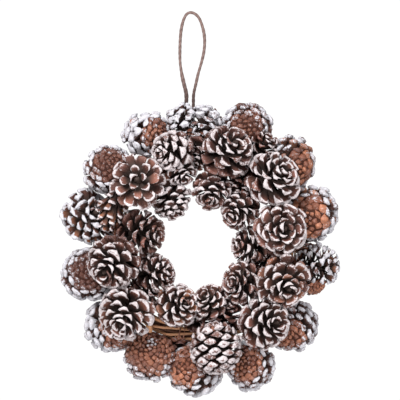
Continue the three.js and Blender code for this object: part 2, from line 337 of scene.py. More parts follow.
CLOSED_STATIONS = [
    (0.00, 0.66, 0.66, 0.66, 0.00, 1.5),
    (0.50, 0.96, 0.96, 0.96, 0.00, 1.5),
    (0.62, 1.00, 1.00, 1.00, 0.00, 1.5),
    (0.74, 0.93, 0.93, 0.93, 0.00, 1.5),
    (0.84, 0.78, 0.78, 0.78, 0.00, 1.5),
    (0.90, 0.54, 0.54, 0.54, 0.00, 1.6),
    (0.93, 0.30, 0.30, 0.30, 0.00, 1.8),
    (0.985, 0.16, 0.16, 0.16, 0.00, 2.0),
]

# Points round a scale, and how far the very end hangs down (share of the thickness below).

OPEN_AROUND = 12
CLOSED_AROUND = 10
POLE_DROP = 0.2


def scale_template(stations, around):
    """Points of one scale: along, sideways, upward, lift, nearness to the rim, and which face."""
    side, top = np.cos(turns(around)), np.sin(turns(around))
    points = []
    for along, wide, above, below, lift, flat in stations:
        edge = 1 - np.abs(side) ** flat
        upward = np.where(top >= 0, above * edge, -below * edge)
        for s, u, f in zip(side, upward, top):
            points.append((along, wide * s, u, lift, abs(s), f))
    first, last = stations[0], stations[-1]
    points.append((first[0], 0, 0, first[4], 0, 0))
    points.append((1.0, 0, -POLE_DROP * last[3], last[4], 0, 0))
    return np.array(points), rings_of(len(stations), around)


OPEN_SCALE = scale_template(OPEN_STATIONS, OPEN_AROUND)
PLATE_SCALE = scale_template(PLATE_STATIONS, OPEN_AROUND)
CLOSED_SCALE = scale_template(CLOSED_STATIONS, CLOSED_AROUND)


# Kinds of cone: the scale, the area of its cell (mm2) round the cone's middle and at its tip, its
# half width and thickness (shares of the cell's size), how thick its upper lip is, how blunt its
# end, how far it is cupped, where its frost sets in below and above, how far the scales rise at
# the places RISE_AT from stem end to tip and stray from that (degrees), how uneven they are, how
# bare the mark at their end is, and what share of the frost those near the stem end have.

RISE_AT = [40, 90, 130, 160, 176]
ROSETTE = dict(
    scale=OPEN_SCALE, cell=240, tip_cell=105, wide=0.48, thick=0.28, lip=0.6, cap=0.58, cup=0.35,
    frost_below=(0.72, 0.82), frost_above=(0.83, 0.92), rise=[-26, 4, 32, 58, 93],
    stray=8.5, uneven=0.14, mark=0.25, back=0.45,
)
WIDE_OPEN = dict(
    scale=OPEN_SCALE, cell=320, tip_cell=190, wide=0.345, thick=0.25, lip=0.45, cap=0.95, cup=0.62,
    frost_below=(0.74, 0.84), frost_above=(0.88, 0.94), rise=[-30, 0, 20, 42, 84],
    stray=10.0, uneven=0.09, mark=0.25, back=0.8,
)
DROOPING = dict(
    scale=OPEN_SCALE, cell=330, tip_cell=230, wide=0.36, thick=0.24, lip=0.6, cap=0.90, cup=0.30,
    frost_below=(0.80, 0.90), frost_above=(0.84, 0.93), rise=[34, 50, 62, 74, 92],
    stray=8.0, uneven=0.12, mark=0.25, back=1.0,
)
LAYERED = dict(
    scale=OPEN_SCALE, cell=250, tip_cell=95, wide=0.52, thick=0.42, lip=0.8, cap=0.60, cup=0.22,
    frost_below=(0.58, 0.70), frost_above=(0.74, 0.84), rise=[-20, 8, 34, 58, 90],
    stray=7.0, uneven=0.12, mark=0.25, back=0.6,
)
KNOBBLY = dict(
    scale=PLATE_SCALE, cell=165, tip_cell=70, wide=0.48, thick=0.34, lip=1.0, cap=0.55, cup=0.05,
    frost_below=(0.68, 0.79), frost_above=(0.72, 0.81), rise=[-24, 8, 36, 68, 94],
    stray=6.0, uneven=0.13, mark=0.45, back=1.0,
)
RHOMBIC = dict(
    scale=PLATE_SCALE, cell=160, tip_cell=85, wide=0.58, thick=0.40, lip=1.0, cap=0.42, cup=0.05,
    frost_below=(0.70, 0.78), frost_above=(0.70, 0.78), rise=[-12, 2, 30, 62, 94],
    stray=3.0, uneven=0.08, mark=0.6, back=1.0,
)
MESSY = dict(
    scale=OPEN_SCALE, cell=170, tip_cell=110, wide=0.40, thick=0.36, lip=0.9, cap=0.70, cup=0.10,
    frost_below=(0.70, 0.86), frost_above=(0.80, 0.90), rise=[-34, -4, 26, 54, 92],
    stray=14.0, uneven=0.22, mark=0.25, back=1.0,
)
LUMPY = dict(
    scale=PLATE_SCALE, cell=215, tip_cell=140, wide=0.50, thick=0.46, lip=1.0, cap=0.60, cup=0.0,
    frost_below=(0.70, 0.79), frost_above=(0.70, 0.79), rise=[-24, 6, 34, 66, 94],
    stray=10.0, uneven=0.20, mark=0.45, back=1.0,
)
KIND_OF_CONE = {
    "front_cone_01": LAYERED,
    "front_cone_07": RHOMBIC,
    "front_cone_10": DROOPING,
    "front_cone_11": WIDE_OPEN,
    "inner_cone_11": MESSY,
    "outer_cone_01": LUMPY,
    "outer_cone_02": LAYERED,
    "outer_cone_06": MESSY,
    "outer_cone_14": MESSY,
    "outer_cone_16": LUMPY,
}

# Closed stem ends: the area of a scale's cell (mm2) at the middle, how much larger it is at the
# rim, on most cones and on those that differ, the tilt of the scales with its stray (degrees), and
# how far the brown goes over into a dark one.

CLOSED_CELL = 18
CLOSED_GROWTH = 50
GROWTH_OF_CONE = {
    "outer_cone_03": 60,
    "outer_cone_04": 110,
    "outer_cone_05": 95,
    "outer_cone_16": 62,
}
CLOSED_TILT = -18.0
CLOSED_STRAY = 9.0
SHADE_OF_CONE = {
    "outer_cone_03": 0.62,
    "outer_cone_04": 0.15,
    "outer_cone_08": 0.12,
    "outer_cone_09": 0.20,
    "outer_cone_13": 0.85,
    "outer_cone_15": 0.75,
    "outer_cone_16": 0.55,
}

# The outline of a cone: how much shorter its stem half is, and how full its sides are.

STEM_HALF = 0.86
FULLNESS = 0.8

# The spiral of scales is laid along the outline in small steps, from a little off its one pole to
# a little off the other. Cells have their given area on a cone of the usual width, and grow with
# it by a power. Round the rim of the closed stem end the small cells go over into the open ones,
# and these shrink to the tip.

OFF_POLE = 0.02
OUTLINE_STEPS = 900
USUAL_WIDTH = 60 * MM
CELL_POWER = 1.6
CELLS_SHRINK = (math.radians(95), math.radians(172))
CLOSED_RIM = (-0.06, 0.30)

# How scales stand: their stray round the cone and about their own length (degrees, or a share of
# the kind's stray), how near the axis the open ones have their roots (shares of the cone's width),
# how steep they may stand before they stop growing, how long the closed ones are, and from where
# these lean with their full tilt (radians along the outline).

TURN_STRAY = 2.0
OPEN_ROLL = 1.4
CLOSED_ROLL = 6.0
SHORT_OF_OUTLINE = 0.10
LEAST_REACH = 0.10
STEEPEST = 0.32
CLOSED_REACH = 0.13
UPRIGHT_UNTIL = 0.6

# Sizes of scales and how they vary. Open ones: their length, and how much of the kind's unevenness
# goes to their length, width, single points and bend. Closed ones: their half width and thickness
# (shares of the cell's size) and how uneven these, their length, their edge and their bend are.

OPEN_LENGTH = 1.03
UNEVEN_LENGTH = 0.30
UNEVEN_WIDTH = 0.7
UNEVEN_POINT = 0.45
UNEVEN_BEND = 2.2
CLOSED_WIDE = 0.77
CLOSED_THICK = 0.66
CLOSED_UNEVEN = 0.09
CLOSED_UNEVEN_LENGTH = 0.06
CLOSED_UNEVEN_EDGE = 0.07
CLOSED_BEND = 0.1

# How much of a scale its end takes at most, and how short a plane may make a scale.

LONGEST_END = 0.5
SHORTENED_TO = 0.4


def outline(angle, width, length):
    """Outline of an open cone from its stem end (0) to its tip (pi), as in the CAD."""
    flatter = np.where(angle < np.pi / 2, STEM_HALF, 1.0)
    radius = width / 2 * np.sin(angle) ** FULLNESS
    height = -(length / 2) * np.cos(angle) * flatter
    return radius, height


def spiral_of_scales(cone):
    """Places of the scales along the outline: each takes the area that a scale has there."""
    width, length = cone["width"], cone["length"]
    angle = np.linspace(OFF_POLE, np.pi - OFF_POLE, OUTLINE_STEPS)
    radius, height = outline(angle, width, length)
    step = np.hypot(np.diff(radius), np.diff(height))
    ring_area = np.pi * (radius[1:] + radius[:-1]) * step
    middle = (angle[1:] + angle[:-1]) / 2
    size = (width / USUAL_WIDTH) ** CELL_POWER * MM * MM
    closed = cone["closed"]
    kind = cone["kind"]
    small = CLOSED_CELL + cone["growth"] * np.clip(middle / closed, 0, 1)
    shrink = smooth(middle, *CELLS_SHRINK)
    large = kind["cell"] - (kind["cell"] - kind["tip_cell"]) * shrink
    blend = smooth(middle, closed + CLOSED_RIM[0], closed + CLOSED_RIM[1])
    cell = (small * (1 - blend) + large * blend) * size
    count = np.concatenate([[0], np.cumsum(ring_area / cell)])
    number = np.arange(0.5, count[-1])
    at = np.interp(number, count, angle)
    return at, np.interp(at, middle, cell), number * SPIRAL_STEP


def scale_frames(cone, at, cell, turn, is_open, draw):
    """Root, direction, upward and sideways of each scale, with its length and size."""
    width, length = cone["width"], cone["length"]
    radius, height = outline(at, width, length)
    number = len(at)
    turn = turn + np.radians(draw.normal(0, TURN_STRAY, number))
    radial = np.stack([np.cos(turn), np.sin(turn), np.zeros_like(turn)], axis=1)
    axis = np.array([0.0, 0.0, 1.0])
    kind = cone["kind"]
    if is_open:
        rise = np.interp(np.degrees(at), RISE_AT, kind["rise"])
        rise = np.radians(rise + draw.normal(0, kind["stray"], number))
        inward = np.maximum(radius - SHORT_OF_OUTLINE * width / 2, LEAST_REACH * width)
        reach_in = inward / np.maximum(np.cos(rise), STEEPEST)
    else:
        rise = np.arctan2(-np.cos(at) * length / 2, np.sin(at) * width / 2)
        tilt = draw.normal(CLOSED_TILT, CLOSED_STRAY, number) * smooth(at, 0.0, UPRIGHT_UNTIL)
        rise = rise + np.radians(tilt)
        reach_in = np.full(number, CLOSED_REACH * width)
    direction = radial * np.cos(rise)[:, None] + axis * np.sin(rise)[:, None]
    upward = -radial * np.sin(rise)[:, None] + axis * np.cos(rise)[:, None]
    sideways = np.cross(direction, upward)
    roll_stray = OPEN_ROLL * kind["stray"] if is_open else CLOSED_ROLL
    roll = np.radians(draw.normal(0, roll_stray, number))
    upward, sideways = (
        upward * np.cos(roll)[:, None] + sideways * np.sin(roll)[:, None],
        sideways * np.cos(roll)[:, None] - upward * np.sin(roll)[:, None],
    )
    end = radial * radius[:, None] + axis * height[:, None]
    spacing = np.sqrt(cell)
    root = end - direction * reach_in[:, None]
    if is_open:
        uneven = kind["uneven"]
        reach_in = reach_in * draw.normal(OPEN_LENGTH, UNEVEN_LENGTH * uneven, number)
        half_width = kind["wide"] * spacing * draw.normal(1, UNEVEN_WIDTH * uneven, number)
        thick = kind["thick"] * spacing * draw.normal(1, uneven, number)
    else:
        reach_in = reach_in * draw.normal(1.0, CLOSED_UNEVEN_LENGTH, number)
        half_width = CLOSED_WIDE * spacing * draw.normal(1, CLOSED_UNEVEN, number)
        thick = CLOSED_THICK * spacing * draw.normal(1, CLOSED_UNEVEN, number)
    return root, direction, upward, sideways, reach_in, half_width, thick


def uneven_outline(count, template, around, amount, draw):
    """How far each point of each scale stands out or in from the even shape."""
    rows = (len(template) - 2) // around
    along_edge = draw.normal(0, amount, (count, 1, around)) * np.ones((1, rows, 1))
    own = draw.normal(0, UNEVEN_POINT * amount, (count, rows, around))
    swell = 1 + (along_edge + own).reshape(count, -1)
    return np.hstack([swell, np.ones((count, 2))])


def build_scales(frames, template, cup, lip, blunt, swell, bend):
    """All scales of one kind as one array of points: scales x points x 3."""
    root, direction, upward, sideways = (value[..., None] for value in frames[:4])
    reach_in, half_width, thick = (value[..., None] for value in frames[4:])
    along, side, up, lift = (template[None, :, k] for k in range(4))
    cap = np.minimum(blunt * half_width, LONGEST_END * reach_in)
    stem = (reach_in - cap) * along / END_FROM
    end = reach_in - cap * (1 - along) / (1 - END_FROM)
    out = np.where(along < END_FROM, stem, end)
    bowl = cup * half_width * side**2 * along
    up = np.where(up > 0, up * lip, up)
    rise = up * thick * swell + lift * reach_in + bowl
    aside = (side * swell + bend[:, None] * along**3) * half_width
    points = root.swapaxes(1, 2) + direction.swapaxes(1, 2) * out[..., None]
    points = points + sideways.swapaxes(1, 2) * aside[..., None]
    return points + upward.swapaxes(1, 2) * rise[..., None]


def draw_back(points, root, planes):
    """Scales that would reach far past a plane are shorter, or drop out; says which ones stay."""
    keep = np.ones(len(points), dtype=bool)
    for normal, meeting in planes:
        offset = meeting - PRESSED_IN
        lowest = (points @ normal - offset).min(axis=1)
        root_depth = root @ normal - offset
        keep &= root_depth > 0
        past = (lowest < 0) & (root_depth > 0)
        share = root_depth[past] / (root_depth[past] - lowest[past])
        share = np.clip(share, SHORTENED_TO, 1)
        foot = root[past][:, None, :]
        points[past] = foot + (points[past] - foot) * share[:, None, None]
        depth = points @ normal - offset
        points -= np.minimum(depth, 0)[..., None] * normal
    return keep


def sides_of_box(low, high):
    """The six sides of the CAD's box, as planes that look inward."""
    sides = []
    for axis in np.eye(3):
        sides.append((axis, low @ axis))
        sides.append((-axis, -(high @ axis)))
    return sides


def clear_ring(points):
    """Points inside the vine ring move out to its skin."""
    local = points - WREATH_CENTRE
    flat = np.hypot(local[..., 0], local[..., 2])
    out = flat - RING_RADIUS
    away = np.hypot(out, local[..., 1])
    room = RING_THICKNESS / 2 + GAP
    inside = away < room
    grow = np.where(inside, room / np.maximum(away, NO_DISTANCE), 1.0)
    new_flat = RING_RADIUS + out * grow
    ratio = new_flat / np.maximum(flat, NO_DISTANCE)
    moved = local * np.stack([ratio, grow, ratio], axis=-1)
    return np.where(inside[..., None], moved + WREATH_CENTRE, points)


# The core of a cone: its points around and along, where it ends (angles along the outline, off
# the poles), how thick it is and how much thicker under the closed stem end, its length, where the
# thick part goes over into the thin one, and the place along a scale from which it has its colour,
# near the roots, so that it is in their painted shade.

CORE_AROUND = 14
CORE_STATIONS = 16
CORE_OFF_STEM = 0.05
CORE_OFF_TIP = 0.12
CORE_THIN = 0.16
CORE_THICKER = 0.74
CORE_LENGTH = 0.90
CORE_RIM = (-0.05, 0.35)
CORE_ALONG = 0.2
CORE_ALONG_CLOSED = 0.46
CORE_TONE = 0.5


def core_of(cone):
    """The woody core under the scales: thin in the open part, full under the closed stem end."""
    angle = np.linspace(CORE_OFF_STEM, np.pi - CORE_OFF_TIP, CORE_STATIONS)
    radius, height = outline(angle, cone["width"], cone["length"])
    closed = cone["closed"]
    full = 1 - smooth(angle, closed + CORE_RIM[0], closed + CORE_RIM[1])
    radius = radius * (CORE_THIN + CORE_THICKER * full)
    path = Z_WAY * height[:, None] * CORE_LENGTH
    points = tube(path, X_WAY, Y_WAY, radius[:, None], turns(CORE_AROUND)).reshape(-1, 3)
    shut = np.append(np.repeat(full, CORE_AROUND), [1, 0])
    return np.vstack([points, path[[0, -1]]]), rings_of(len(path), CORE_AROUND), shut


# Frost on open scales: where it ends on the sides of their lower face, from where it covers their
# rims (places across and along a scale), and the mark at their end. Its amount varies from scale
# to scale (middle, stray and limits) and grows away from the stem end (angle along the outline).

LOWER_FACE = (-0.1, 0.3)
RIM_ACROSS = (0.72, 0.96)
RIM_ALONG = (0.62, 0.84)
MARK_ALONG = (0.94, 0.98)
OPEN_FROST = (0.95, 0.28)
OPEN_FROST_LIMITS = (0.2, 1.6)
BACK_UNTIL = (1.2, 1.8)

# Frost on closed scales: where it covers their ends and how much. Its amount and stray are less
# on warm cones, it grows to the rim, and on cold cones it covers the very middle.

CLOSED_ALONG = (0.76, 0.95)
CLOSED_FROST = 0.5
SPECKLED = 0.35
SPECKLED_STRAY = 0.5
LESS_IF_WARM = 0.35
MOST_SPECKLED = 1.6
RIM_FROST = 0.8
RIM_FROST_FROM = 0.5
COLD_BELOW = 0.4
COLD_MIDDLE = 0.15
COLD_FROST = 1.0


def open_frost(cone, template, at, draw):
    """Frost at each point of the open scales, which lie at these angles along the outline."""
    kind = cone["kind"]
    along, rim, face = template[:, 0], template[:, 4], template[:, 5]
    under = smooth(along, *kind["frost_below"]) * smooth(-face, *LOWER_FACE)
    over = smooth(along, *kind["frost_above"])
    edge = smooth(rim, *RIM_ACROSS) * smooth(along, *RIM_ALONG)
    frost = np.maximum(np.maximum(under, over), edge)
    frost = frost * (1 - kind["mark"] * smooth(along, *MARK_ALONG))
    share = cone["frost"] * np.clip(draw.normal(*OPEN_FROST, len(at)), *OPEN_FROST_LIMITS)
    share = share * (kind["back"] + (1 - kind["back"]) * smooth(at, *BACK_UNTIL))
    return frost[None, :] * share[:, None]


def closed_frost(cone, template, at, draw):
    """Frost at each point of the closed scales, which lie at these angles along the outline."""
    frost = smooth(template[:, 0], *CLOSED_ALONG) * CLOSED_FROST
    middle = SPECKLED - LESS_IF_WARM * cone["warm"]
    stray = SPECKLED_STRAY - LESS_IF_WARM * cone["warm"]
    share = cone["frost"] * np.clip(draw.normal(middle, stray, len(at)), 0, MOST_SPECKLED)
    share = share + RIM_FROST * smooth(at, RIM_FROST_FROM * cone["closed"], cone["closed"])
    if cone["warm"] < COLD_BELOW:
        share = share + COLD_FROST * (at < COLD_MIDDLE)
    return frost[None, :] * share[:, None]


def shapes_of_scales(cone, frames, template, is_open, draw):
    """Points of the open or closed scales of a cone, in the cone's own frame."""
    number = len(frames[0])
    if is_open:
        kind = cone["kind"]
        swell = uneven_outline(number, template, OPEN_AROUND, kind["uneven"], draw)
        bend = draw.normal(0, UNEVEN_BEND * kind["uneven"], number)
        return build_scales(frames, template, kind["cup"], kind["lip"], kind["cap"], swell, bend)
    swell = uneven_outline(number, template, CLOSED_AROUND, CLOSED_UNEVEN_EDGE, draw)
    bend = draw.normal(0, CLOSED_BEND, number)
    return build_scales(frames, template, 0.0, 1.0, 1.0, swell, bend)


def cone_piece(cone, planes, material):
    """One finer cone: its core, its open scales and the closed ones at its stem end."""
    draw = np.random.default_rng(CONE_SEED + cone["index"])
    at, cell, turn = spiral_of_scales(cone)
    turn = turn + cone["own_turn"]
    parts, faces = [], []
    data = {"frost": [], "tone": [], "along": [], "across": [], "shut": []}
    total = 0

    def add(world, triangles, *values):
        nonlocal total
        parts.append(world.reshape(-1, 3))
        faces.append(triangles + total)
        total += len(parts[-1])
        for key, value in zip(data, values):
            data[key].append(np.broadcast_to(value, world.shape[:-1]).ravel())

    core, core_faces, core_shut = core_of(cone)
    # The core takes the colour of the scales' roots, which is painted shade.
    core_along = CORE_ALONG + CORE_ALONG_CLOSED * core_shut
    core = core @ cone["turn"].T + cone["middle"]
    add(core, core_faces, 0.0, CORE_TONE, core_along, 0.0, core_shut)

    for is_open, (template, triangles) in ((True, cone["kind"]["scale"]), (False, CLOSED_SCALE)):
        here = at >= cone["closed"] if is_open else at < cone["closed"]
        frames = scale_frames(cone, at[here], cell[here], turn[here], is_open, draw)
        points = shapes_of_scales(cone, frames, template, is_open, draw)
        world = points @ cone["turn"].T + cone["middle"]
        root = frames[0] @ cone["turn"].T + cone["middle"]
        keep = draw_back(world, root, planes)
        world = clear_ring(world)[keep]
        number = len(world)
        frost_of = open_frost if is_open else closed_frost
        frost = frost_of(cone, template, at[here][keep], draw)
        tone = draw.uniform(0, 1, number)[:, None]
        offsets = (np.arange(number) * len(template))[:, None, None]
        all_faces = (triangles[None] + offsets).reshape(-1, 3)
        shut = 0.0 if is_open else 1.0
        add(world, all_faces, frost, tone, template[:, 0], template[:, 1], shut)

    attributes = {key: np.concatenate(values) for key, values in data.items()}
    for key in ("warm", "cool", "shade"):
        attributes[key] = np.full(total, cone[key])
    make_piece(
        cone["name"] + "_fine",
        np.vstack(parts),
        np.vstack(faces),
        attributes,
        material,
        cone["name"],
        cone["slot"],
    )


# Materials: how much a surface shines, and how often streaks change across a scale, along it and
# from one scale to the next.

SHINE = 0.4
STREAKS_ACROSS = 3.2
STREAKS_ALONG = 1.6
STREAKS_APART = 40.0


class Shader:
    """Short calls for a procedural material."""

    def __init__(self, name, roughness):
        self.material = bpy.data.materials.new(name)
        self.material.use_nodes = True
        self.tree = self.material.node_tree
        self.surface = self.tree.nodes["Principled BSDF"]
        self.surface.inputs["Roughness"].default_value = roughness
        self.surface.inputs["Specular IOR Level"].default_value = SHINE
        self.place = self.new("TexCoord").outputs["Object"]

    def new(self, kind):
        return self.tree.nodes.new("ShaderNode" + kind)

    def put(self, value, socket):
        """A number or a colour as the socket's value, or a link to it."""
        if isinstance(value, (int, float, tuple)):
            socket.default_value = value
        else:
            self.tree.links.new(value, socket)

    def attribute(self, name):
        node = self.new("Attribute")
        node.attribute_name = name
        return node.outputs["Fac"]

    def noise(self, scale, detail=4.0, roughness=0.6):
        node = self.new("TexNoise")
        node.inputs["Scale"].default_value = scale
        node.inputs["Detail"].default_value = detail
        node.inputs["Roughness"].default_value = roughness
        self.put(self.place, node.inputs["Vector"])
        return node.outputs["Fac"]

    def streaks(self, across, along, tone):
        """Noise drawn out along a scale, different on each scale."""
        where = self.new("CombineXYZ")
        self.put(self.times(across, STREAKS_ACROSS), where.inputs[0])
        self.put(self.times(along, STREAKS_ALONG), where.inputs[1])
        self.put(self.times(tone, STREAKS_APART), where.inputs[2])
        node = self.new("TexNoise")
        node.inputs["Scale"].default_value = 1.0
        node.inputs["Detail"].default_value = 2.0
        self.put(where.outputs[0], node.inputs["Vector"])
        return node.outputs["Fac"]

    def math(self, kind, a, b):
        node = self.new("Math")
        node.operation = kind
        self.put(a, node.inputs[0])
        self.put(b, node.inputs[1])
        return node.outputs[0]

    def times(self, a, b):
        return self.math("MULTIPLY", a, b)

    def plus(self, a, b):
        return self.math("ADD", a, b)

    def ramp(self, value, low, high, bottom=0.0, top=1.0):
        node = self.new("MapRange")
        node.interpolation_type = "SMOOTHSTEP"
        self.put(value, node.inputs["Value"])
        keys = ("From Min", "From Max", "To Min", "To Max")
        for key, number in zip(keys, (low, high, bottom, top)):
            node.inputs[key].default_value = number
        return node.outputs["Result"]

    def mix(self, share, a, b):
        node = self.new("Mix")
        node.data_type = "RGBA"
        self.put(share, node.inputs["Factor"])
        for value, key in ((a, "A"), (b, "B")):
            socket = next(s for s in node.inputs if s.name == key and s.type == "RGBA")
            self.put((*value, 1.0) if isinstance(value, tuple) else value, socket)
        return next(s for s in node.outputs if s.type == "RGBA")

    def bump(self, height, strength, distance):
        node = self.new("Bump")
        node.inputs["Strength"].default_value = strength
        node.inputs["Distance"].default_value = distance
        self.put(height, node.inputs["Height"])
        self.put(node.outputs["Normal"], self.surface.inputs["Normal"])

    def colour(self, value):
        self.put(value, self.surface.inputs["Base Color"])


# Colours of the open scales, of the closed ones, each with painted shade at the roots, of the
# frost on both, and of pale specks that are frost dust and painted glints.

OPEN_DARK = (0.050, 0.019, 0.016)
OPEN_BROWN = (0.200, 0.078, 0.060)
OPEN_DEEP = (0.100, 0.038, 0.032)
OPEN_STREAK = (0.330, 0.150, 0.110)
OPEN_PATCH = (0.260, 0.105, 0.070)
OPEN_ROOT_SHADE = (0.060, 0.042, 0.037)
RUST = (0.270, 0.105, 0.078)
WARM_RUST = (0.500, 0.200, 0.105)
CLOSED_DARK = (0.190, 0.060, 0.034)
CLOSED_BROWN = (0.780, 0.310, 0.165)
CLOSED_DEEP = (0.170, 0.052, 0.030)
CLOSED_COLD = (0.120, 0.050, 0.038)
CLOSED_PATCH = (0.120, 0.042, 0.028)
CLOSED_STREAK = (0.150, 0.048, 0.026)
CLOSED_SHADE = (0.100, 0.034, 0.024)
CLOSED_GROOVE_SHADE = (0.040, 0.016, 0.012)
PINK_FROST = ((0.610, 0.480, 0.475), (0.930, 0.850, 0.850))
BLUE_FROST = ((0.520, 0.535, 0.610), (0.880, 0.895, 0.950))
THIN_FROST = (0.330, 0.250, 0.240)
FROST_SPECKS_AND_GLINTS = (0.600, 0.520, 0.500)


def cone_material():
    """Brown scales, rusty on warm cones, with painted shade at their roots and pale specks of
    frost dust with painted glints, and frost worn off in places by three noises.
    """
    s = Shader("cone_scales", 0.8)
    along, shut = s.attribute("along"), s.attribute("shut")
    tone, warm = s.attribute("tone"), s.attribute("warm")
    broad, blotch = s.noise(150.0), s.noise(430.0, 3.0, 0.7)
    fine, grain = s.noise(1300.0, 3.0), s.noise(3600.0, 2.0)
    large = s.noise(48.0, 2.0)
    streak = s.streaks(s.attribute("across"), along, tone)
    inner = s.mix(blotch, OPEN_DARK, OPEN_BROWN)
    inner = s.mix(s.times(tone, 0.6), inner, OPEN_DEEP)
    rusty = s.ramp(s.plus(tone, s.times(warm, 0.35)), 0.84, 1.20)
    rust = s.mix(s.ramp(warm, 0.6, 1.0), RUST, WARM_RUST)
    inner = s.mix(rusty, inner, rust)
    inner = s.mix(s.ramp(streak, 0.54, 0.70, 0.0, 0.5), inner, OPEN_STREAK)
    inner = s.mix(s.ramp(large, 0.50, 0.62, 0.0, 0.35), inner, OPEN_PATCH)
    # Painted shade: the open scales darken toward their roots, where they lie deep between others.
    inner = s.mix(s.ramp(along, 0.94, 0.42), inner, OPEN_ROOT_SHADE)
    base = s.mix(blotch, CLOSED_DARK, CLOSED_BROWN)
    base = s.mix(s.times(s.ramp(tone, 0.3, 0.7), 0.75), base, CLOSED_DEEP)
    base = s.mix(s.ramp(warm, 0.8, 0.1, 0.0, 0.60), base, CLOSED_COLD)
    base = s.mix(s.ramp(large, 0.52, 0.36, 0.0, 0.55), base, CLOSED_PATCH)
    base = s.mix(s.ramp(streak, 0.50, 0.66, 0.0, 0.5), base, CLOSED_STREAK)
    base = s.mix(s.attribute("shade"), base, CLOSED_SHADE)
    # Painted shade: the closed scales darken toward their roots, in the grooves between the knobs.
    base = s.mix(s.ramp(along, 0.86, 0.62), base, CLOSED_GROOVE_SHADE)
    brown = s.mix(shut, inner, base)
    worn = s.attribute("frost")
    for noise, strength in ((blotch, 1.9), (fine, 1.2), (broad, 0.7)):
        change = s.times(s.math("SUBTRACT", noise, 0.5), strength)
        worn = s.plus(worn, change)
    frosted = s.ramp(worn, 0.36, 0.66)
    pink = s.mix(grain, *PINK_FROST)
    blue = s.mix(grain, *BLUE_FROST)
    white = s.mix(s.attribute("cool"), pink, blue)
    white = s.mix(s.ramp(blotch, 0.62, 0.36, 0.0, 0.45), white, THIN_FROST)
    # Pale specks near the scales' ends: frost dust, and painted glints.
    speck_and_glint = s.times(s.ramp(fine, 0.60, 0.68), s.ramp(along, 0.6, 0.95, 0.0, 0.8))
    colour = s.mix(speck_and_glint, brown, FROST_SPECKS_AND_GLINTS)
    s.colour(s.mix(frosted, colour, white))
    s.put(s.plus(s.times(frosted, 0.42), 0.45), s.surface.inputs["Roughness"])
    s.put(s.ramp(along, 0.70, 0.95, 0.04, 0.50), s.surface.inputs["Specular IOR Level"])
    s.bump(s.plus(fine, s.times(frosted, 0.6)), 0.6, 0.8 * MM)
    return s.material


def vine_material():
    """Orange-brown bark with dark specks; core stems in painted shade, some others darker in tone.
    """
    s = Shader("vine_bark", 0.75)
    broad, fine = s.noise(90.0), s.noise(1500.0, 4.0)
    bark_dark_and_shade = s.attribute("bark_dark_and_shade")
    bark = s.mix(broad, (0.560, 0.240, 0.120), (0.900, 0.500, 0.280))
    # Darker bark: painted shade on the core stems, the own tone of the others.
    bark = s.mix(s.times(bark_dark_and_shade, 0.75), bark, (0.090, 0.036, 0.020))
    bark = s.mix(s.ramp(fine, 0.58, 0.72), bark, (0.090, 0.040, 0.022))
    s.colour(bark)
    s.bump(fine, 0.6, 0.6 * MM)
    return s.material


def twine_material():
    """Brown fibre, with painted shade between the strands and towards the ring."""
    s = Shader("twine_fibre", 0.95)
    broad, fine = s.noise(220.0), s.noise(5200.0, 3.0)
    fibre = s.mix(broad, (0.150, 0.092, 0.082), (0.290, 0.200, 0.180))
    # Painted shade on the twine below the crown, towards the ring.
    fibre = s.mix(s.times(s.attribute("low"), 0.6), fibre, (0.090, 0.055, 0.048))
    # Painted shade in the grooves between the strands.
    fibre = s.mix(s.times(s.attribute("groove_shade"), 0.7), fibre, (0.070, 0.042, 0.036))
    fibre = s.mix(s.ramp(fine, 0.60, 0.75, 0.0, 0.5), fibre, (0.380, 0.300, 0.260))
    s.colour(fibre)
    s.bump(fine, 0.7, 0.3 * MM)
    return s.material


# Twine loop: the same route as in the CAD, from the loop's crown, in millimetres.

LOOP_ROUTE = [
    (-1, 8.2, -177.6), (-2, 11.4, -171), (-3, 13, -160), (-4, 16.5, -140),
    (-5, 18.5, -120), (-5, 15, -106), (-5, 9, -94), (-7.5, 5, -83),
    (-10, 2.5, -72), (-12, 1, -58), (-12.3, 0, -44), (-11.8, 0, -30),
    (-10.5, 0, -18), (-7.5, 0, -7), (-4, 0, -1.5), (0, 0, 0),
    (5, 0, -1.5), (9.5, 0, -6), (13, 0, -14), (15.5, 0, -24),
    (16.3, 0, -34), (15.3, 0, -46), (12.5, 1, -58), (9, 2.5, -70),
    (6, 5, -83), (3.6, 9, -94), (3.2, 15, -106), (3, 18.5, -120),
    (4, 16.5, -140), (4.5, 13, -160), (4.5, 11.4, -171), (4, 8.2, -177.6),
]
ROUTE_STEPS = 16

# The twine: its points around, its strands, the length of one turn, the shape of its section
# (shares of its half thickness), its waves in thickness (share, length, start), how much thicker
# its left leg is, where that begins and ends, and where its painted shade sets in (below the
# crown).

TWINE_AROUND = 18
STRANDS = 2
PITCH = 13 * MM
SECTION_CORE = 0.88
SECTION_BULGE = 0.16
BULGE_POWER = 0.8
TWINE_WAVES = ((0.05, 11 * MM, 0), (0.04, 4.3 * MM, 1))
LEFT_THICKER = 0.3
LEFT_FROM = (66 * MM, 78 * MM)
LEFT_TO = (98 * MM, 110 * MM)
PAINTED_SHADE_FROM = (70 * MM, 96 * MM)


def between(u, low, high, a, b):
    """The point at u on the line from a, at low, to b, at high."""
    return (high - u) / (high - low) * a + (u - low) / (high - low) * b


